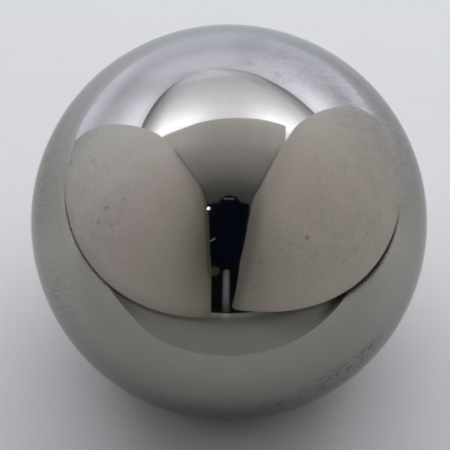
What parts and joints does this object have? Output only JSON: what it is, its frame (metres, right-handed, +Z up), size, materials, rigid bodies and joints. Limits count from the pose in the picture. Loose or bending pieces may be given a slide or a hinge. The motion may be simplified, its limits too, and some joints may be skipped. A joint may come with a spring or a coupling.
{
  "type": "carbide bearing ball",
  "caption": "Solid mirror-lapped tungsten carbide ball that rolls between bearing races or seats a valve, with fine handling scuffs.",
  "frame": {"origin": "centre of the ball", "axes": "+Z up, away from the seat that the ball stands on; every axis through the origin is an axis of symmetry"},
  "size_m": [0.0508, 0.0508, 0.0508],
  "materials": {
    "lapped_carbide": "lapped to a mirror, with fine handling scuffs and pits"
  },
  "bodies": {
    "root": {"ball": "lapped_carbide"}
  },
  "joints": []
}
